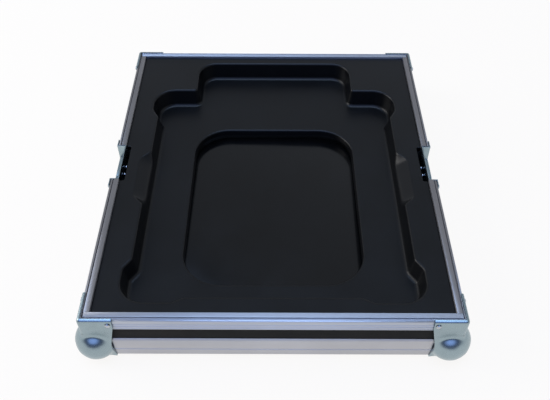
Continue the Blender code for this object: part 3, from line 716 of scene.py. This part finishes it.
def trim_corner(skin, centre):
    """Cut the lip, the toe, both legs and the hollow out of the corner's solid."""
    lip, toe, inner, out = LIP_WIDTH, TOE, TOE - TOE_CHAMFER, BEYOND
    cut(skin, upright([(lip, lip), (out, lip), (out, out), (lip, out)], UNDERSIDE - GAP, 0.2))
    cut(skin, upright([(toe, -out), (out, -out), (out, out), (-out, out), (-out, toe),
                       (inner, toe), (toe, inner)], -0.1, UNDERSIDE - GAP))
    past = LEG_TOP + LEG_WASTE
    side = [(past, out), (LEG_TOP, out), (LEG_TOP, LAND - 0.0130),
            (LEG_SHOULDER, LAND - 0.0150), (WAIST_TOP, UNDERSIDE + 0.0295),
            (WAIST, UNDERSIDE + 0.0260), (WAIST_FOOT, UNDERSIDE + 0.012),
            (toe, UNDERSIDE), (toe, -0.03), (past, -0.03)]
    for along_x in (True, False):
        cut(skin, prism([[(along, across, z) if along_x else (across, along, z)
                          for along, z in side] for across in LEG_CUT]))
    cut(skin, upright([(-GAP, -GAP), (out, -GAP), (out, out), (-GAP, out)],
                      UNDERSIDE - GAP, SHOULDER + GAP))
    bore = bmesh.new()
    bmesh.ops.create_uvsphere(bore, u_segments=40, v_segments=24, radius=BALL_BORE)
    bmesh.ops.translate(bore, vec=centre, verts=bore.verts)
    cut(skin, scratch(bore))


def build_corners():
    """Pressed ball corner, made once and mirrored to all four places."""
    centre = Vector((-HALF_WIDTH + BALL_INSET, -HALF_DEPTH + BALL_INSET, BALL_CENTRE))
    skin = corner_skin(centre)
    trim_corner(skin, centre)
    for end, sy in (("front", 1), ("rear", -1)):
        for hand, sx in (("left", 1), ("right", -1)):
            bm = bmesh.new()
            bm.from_mesh(skin.data)
            bmesh.ops.scale(bm, vec=(sx, sy, 1), verts=bm.verts)
            if sx != sy:
                bmesh.ops.reverse_faces(bm, faces=bm.faces)
            link("corner_" + end + "_" + hand, mesh_of(bm, sharp=38), ZINC,
                 "ball_corner_" + end + "_" + hand, slot="zinc_steel")
    bpy.data.objects.remove(skin, do_unlink=True)


def build_rivets():
    """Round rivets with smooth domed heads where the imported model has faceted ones."""
    for name in NODES:
        if "rivet" not in name:
            continue
        low, high = (Vector(corner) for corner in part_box(name))
        middle = (low + high) / 2
        if name.startswith("foot"):
            axis = Vector((0, 0, -1))
        elif name.startswith("end"):
            axis = Vector((0, 1 if middle.y > 0 else -1, 0))
        else:
            axis = Vector((1 if middle.x > 0 else -1, 0, 0))
        extent = abs((high - low).dot(axis)) / 2
        seat = middle + axis * (extent - HEAD_HEIGHT)
        length = 2 * extent - HEAD_HEIGHT
        across = Vector((0, 0, 1)) if abs(axis.z) < 0.5 else Vector((1, 0, 0))
        other = axis.cross(across)
        tail = RIVET_TAIL if name.startswith("keeper") else ((SHANK, 0.0),)
        profile = [(radius, height - length) for radius, height in tail] + list(RIVET_HEAD)
        bm = bmesh.new()
        last = None
        for radius, height in profile:
            loop = []
            for i in range(RIVET_SIDES):
                turn = 2 * math.pi * i / RIVET_SIDES
                spoke = across * math.cos(turn) + other * math.sin(turn)
                loop.append(bm.verts.new(seat + axis * height + spoke * radius))
            if last:
                bridge(bm, last, loop)
            else:
                bm.faces.new(loop)
            last = loop
        bm.faces.new(last)
        bmesh.ops.recalc_face_normals(bm, faces=bm.faces)
        link(name + "_turned", mesh_of(bm, sharp=50), RIVET, name, slot="zinc_steel")


build_insert()
build_edging()
build_corners()
build_rivets()
for node in NODES:
    for word, slot, width in SOFTENED:
        if word in node and "rivet" not in node:
            softened(node, finish_of(node), slot, width)


# studio

# The photograph's view, in metres and degrees, as fitted to the case's straight edges
CAMERA_PLACE = (0.000647, -0.627923, 0.694392)
CAMERA_TURN = (42.1767, -0.1969, 0.1118)
CAMERA_LENS = 43.2

# Floor: half its size, its colours in light and shadow, and its share of plain white
FLOOR_REACH = 6.0
FLOOR_COLOUR = (0.97, 0.93, 0.87, 1.0)
GLOW_COLOUR = (1.0, 0.985, 0.965, 1.0)
FLOOR_GLOW = 0.90

# Colours of the studio all round, from the floor's edge up to the ceiling
LOW_WALL = (0.88, 0.90, 0.93)
HIGH_WALL = (0.42, 0.45, 0.50)
DARK_CEILING = (0.10, 0.13, 0.21)
WINDOW = (0.62, 0.85, 1.60)
SKYLIGHT = (2.1, 2.85, 4.15)


def build_camera():
    """Camera at the photograph's viewing angle."""
    data = bpy.data.cameras.new("camera")
    data.sensor_width = 36.0
    data.lens = CAMERA_LENS
    data.clip_start = 0.01
    camera = bpy.data.objects.new("camera", data)
    camera.location = CAMERA_PLACE
    camera.rotation_euler = [math.radians(angle) for angle in CAMERA_TURN]
    bpy.context.scene.collection.objects.link(camera)
    bpy.context.scene.camera = camera


def area_light(name, location, target, size, power, colour):
    """Rectangular lamp aimed at a point."""
    data = bpy.data.lights.new(name, "AREA")
    data.shape = "RECTANGLE"
    data.size = size[0]
    data.size_y = size[1]
    data.energy = power
    data.color = colour
    lamp = bpy.data.objects.new(name, data)
    lamp.location = location
    aim = Vector(target) - Vector(location)
    lamp.rotation_euler = aim.to_track_quat("-Z", "Y").to_euler()
    bpy.context.scene.collection.objects.link(lamp)


def build_floor():
    """Plain floor that shows nearly white in the picture and still takes the shadow."""
    bm = bmesh.new()
    bmesh.ops.create_grid(bm, x_segments=1, y_segments=1, size=FLOOR_REACH)
    mesh = mesh_of(bm, smooth=False)
    floor = bpy.data.objects.new("floor", mesh)
    bpy.context.scene.collection.objects.link(floor)
    material = bpy.data.materials.new("white_floor")
    material.use_nodes = True
    tree = material.node_tree
    shader = tree.nodes["Principled BSDF"]
    shader.inputs["Base Color"].default_value = FLOOR_COLOUR
    shader.inputs["Roughness"].default_value = 1.0
    shader.inputs["Specular IOR Level"].default_value = 0.0
    glow = tree.nodes.new("ShaderNodeEmission")
    glow.inputs["Color"].default_value = GLOW_COLOUR
    glow.inputs["Strength"].default_value = 1.0
    path = tree.nodes.new("ShaderNodeLightPath")
    seen = tree.nodes.new("ShaderNodeMath")
    seen.operation = "MAXIMUM"
    tree.links.new(path.outputs["Is Camera Ray"], seen.inputs[0])
    tree.links.new(path.outputs["Is Glossy Ray"], seen.inputs[1])
    share = tree.nodes.new("ShaderNodeMath")
    share.operation = "MULTIPLY"
    tree.links.new(seen.outputs["Value"], share.inputs[0])
    share.inputs[1].default_value = FLOOR_GLOW
    mixer = tree.nodes.new("ShaderNodeMixShader")
    tree.links.new(share.outputs["Value"], mixer.inputs["Fac"])
    tree.links.new(shader.outputs["BSDF"], mixer.inputs[1])
    tree.links.new(glow.outputs["Emission"], mixer.inputs[2])
    tree.links.new(mixer.outputs["Shader"], tree.nodes["Material Output"].inputs["Surface"])
    mesh.materials.append(material)


def build_world():
    """Soft studio: pale low walls, a dark ceiling with a cool window and a skylight in it."""
    world = bpy.data.worlds.new("studio")
    world.use_nodes = True
    tree = world.node_tree
    nodes, links = tree.nodes, tree.links
    direction = nodes.new("ShaderNodeTexCoord").outputs["Generated"]

    def along(axis, start, end, widen=1.0):
        """Ramp with the angle to an axis, over a patch made wider from left to right."""
        narrow = nodes.new("ShaderNodeVectorMath")
        narrow.operation = "MULTIPLY"
        links.new(direction, narrow.inputs[0])
        narrow.inputs[1].default_value = (1 / widen, 1, 1)
        unit = nodes.new("ShaderNodeVectorMath")
        unit.operation = "NORMALIZE"
        links.new(narrow.outputs["Vector"], unit.inputs[0])
        dot = nodes.new("ShaderNodeVectorMath")
        dot.operation = "DOT_PRODUCT"
        links.new(unit.outputs["Vector"], dot.inputs[0])
        dot.inputs[1].default_value = Vector(axis).normalized()
        ramp = nodes.new("ShaderNodeMapRange")
        ramp.interpolation_type = "SMOOTHSTEP"
        ramp.inputs["From Min"].default_value = start
        ramp.inputs["From Max"].default_value = end
        links.new(dot.outputs["Value"], ramp.inputs["Value"])
        return ramp.outputs["Result"]

    def mix(factor, first, second):
        """Mix of two colours, each a socket or an (r, g, b)."""
        node = nodes.new("ShaderNodeMix")
        node.data_type = "RGBA"
        links.new(factor, node.inputs["Factor"])
        for socket, value in ((node.inputs[6], first), (node.inputs[7], second)):
            if isinstance(value, bpy.types.NodeSocket):
                links.new(value, socket)
            else:
                socket.default_value = (*value, 1.0)
        return node.outputs[2]

    room = mix(along((0, 0, 1), 0.05, 0.25), LOW_WALL, HIGH_WALL)
    front = (-0.12, -0.56, 0.82)
    dim = mix(along(front, 0.46, 0.66), room, DARK_CEILING)
    window = mix(along(front, 0.79, 0.95), dim, WINDOW)
    lit = mix(along((0, 0.02, 1), 0.94, 0.985, 1.8), window, SKYLIGHT)
    links.new(lit, nodes["Background"].inputs["Color"])
    nodes["Background"].inputs["Strength"].default_value = 1.0
    bpy.context.scene.world = world


build_camera()
build_floor()
build_world()
area_light("key", location=(-2.2, 0.2, 1.3), target=(0, 0, 0.05), size=(1.6, 1.6), power=30,
           colour=(1.0, 0.98, 0.96))

bpy.context.scene.view_settings.view_transform = "Standard"
